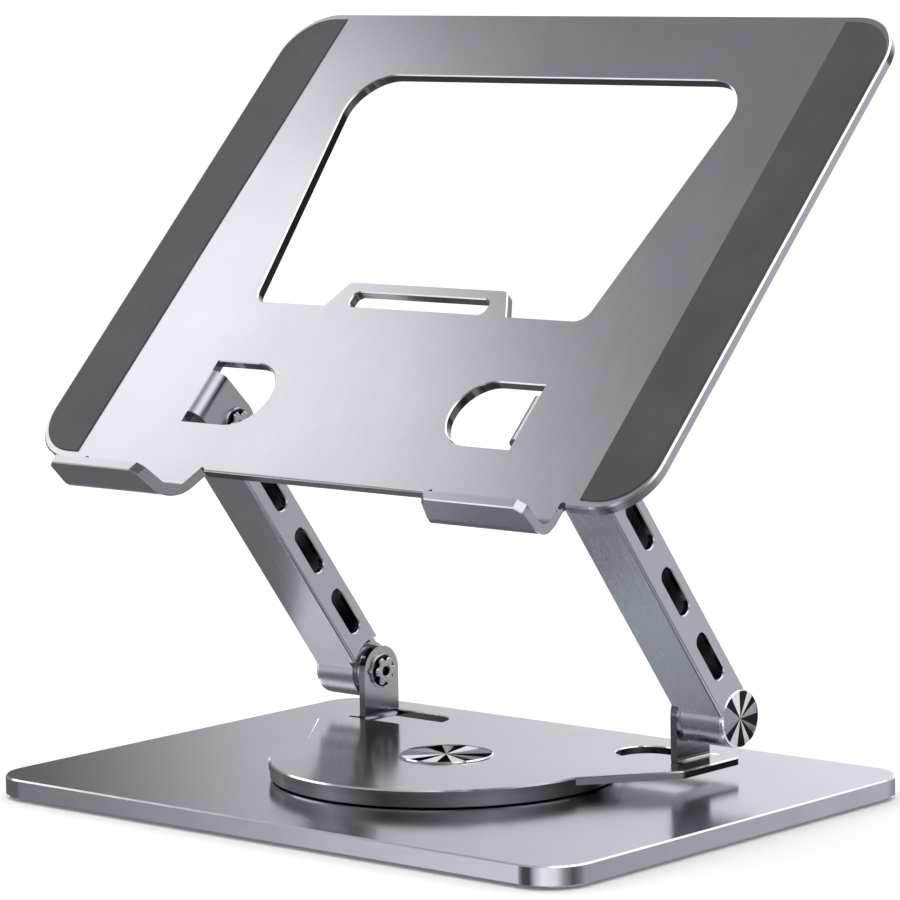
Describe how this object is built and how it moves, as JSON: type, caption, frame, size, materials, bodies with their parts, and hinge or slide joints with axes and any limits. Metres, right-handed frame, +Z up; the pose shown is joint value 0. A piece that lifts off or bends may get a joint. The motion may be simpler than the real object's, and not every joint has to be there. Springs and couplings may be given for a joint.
{
  "type": "laptop stand",
  "caption": "Folding desk stand for a laptop: a tilting platform with front hooks on folding arms, over a turntable that swivels on a flat base.",
  "frame": {"origin": "on the desk under the centre of the base plate, on the swivel axis", "axes": "+X to the right, +Y away from the user (the hooks face -Y), +Z up"},
  "size_m": [0.255, 0.179, 0.2477],
  "materials": {
    "anodised_metal": "fine-blasted and anodised space grey, satin, with bright cut chamfers",
    "spun_cap": "radially spun bright face",
    "steel_hardware": "zinc plated, semi-bright",
    "grip_rubber": "matte silicone rubber",
    "slide_plastic": "acetal, low friction"
  },
  "bodies": {
    "base": {"base_plate": "anodised_metal", "foot_pad_front_left": "grip_rubber", "foot_pad_front_right": "grip_rubber", "foot_pad_back_left": "grip_rubber", "foot_pad_back_right": "grip_rubber", "swivel_slide_ring": "slide_plastic"},
    "turntable": {"turntable_plate": "anodised_metal", "turntable_cap": "spun_cap", "spacer_disc": "anodised_metal", "spacer_disc_screws": "steel_hardware", "pivot_bolt": "steel_hardware", "pivot_washer": "steel_hardware", "pivot_wave_spring": "steel_hardware", "pivot_lock_nut": "steel_hardware", "lower_hinge_bolt_left": "steel_hardware", "lower_hinge_bolt_right": "steel_hardware", "lower_hinge_steel_washer_left": "steel_hardware", "lower_hinge_steel_washer_right": "steel_hardware", "lower_hinge_friction_disc_left": "slide_plastic", "lower_hinge_friction_disc_right": "slide_plastic", "lower_hinge_wave_washer_left": "steel_hardware", "lower_hinge_wave_washer_right": "steel_hardware", "lower_hinge_disc_springs_left": "steel_hardware", "lower_hinge_disc_springs_right": "steel_hardware", "lower_hinge_lock_nut_left": "steel_hardware", "lower_hinge_lock_nut_right": "steel_hardware"},
    "arms": {"arm_left": "anodised_metal", "arm_right": "anodised_metal", "lower_hinge_cap_left": "spun_cap", "lower_hinge_cap_right": "spun_cap", "upper_hinge_cap_left": "spun_cap", "upper_hinge_cap_right": "spun_cap"},
    "platform": {"platform_plate": "anodised_metal", "rubber_pad_left": "grip_rubber", "rubber_pad_right": "grip_rubber", "upper_hinge_bolt_left": "steel_hardware", "upper_hinge_bolt_right": "steel_hardware", "upper_hinge_steel_washer_left": "steel_hardware", "upper_hinge_steel_washer_right": "steel_hardware", "upper_hinge_friction_disc_left": "slide_plastic", "upper_hinge_friction_disc_right": "slide_plastic", "upper_hinge_wave_washer_left": "steel_hardware", "upper_hinge_wave_washer_right": "steel_hardware", "upper_hinge_disc_springs_left": "steel_hardware", "upper_hinge_disc_springs_right": "steel_hardware", "upper_hinge_lock_nut_left": "steel_hardware", "upper_hinge_lock_nut_right": "steel_hardware"}
  },
  "joints": [
    {"name": "swivel", "type": "hinge", "parent": "base", "child": "turntable", "pos_m": [0, 0, 0], "axis": [0, 0, 1], "continuous": true},
    {"name": "arm_fold", "type": "hinge", "parent": "turntable", "child": "arms", "pos_m": [0, 0.0422, 0.0284], "axis": [1, 0, 0], "range_deg": [-14, 38]},
    {"name": "platform_tilt", "type": "hinge", "parent": "arms", "child": "platform", "pos_m": [0, -0.02642, 0.11881], "axis": [-1, 0, 0], "range_deg": [-10, 80]}
  ]
}
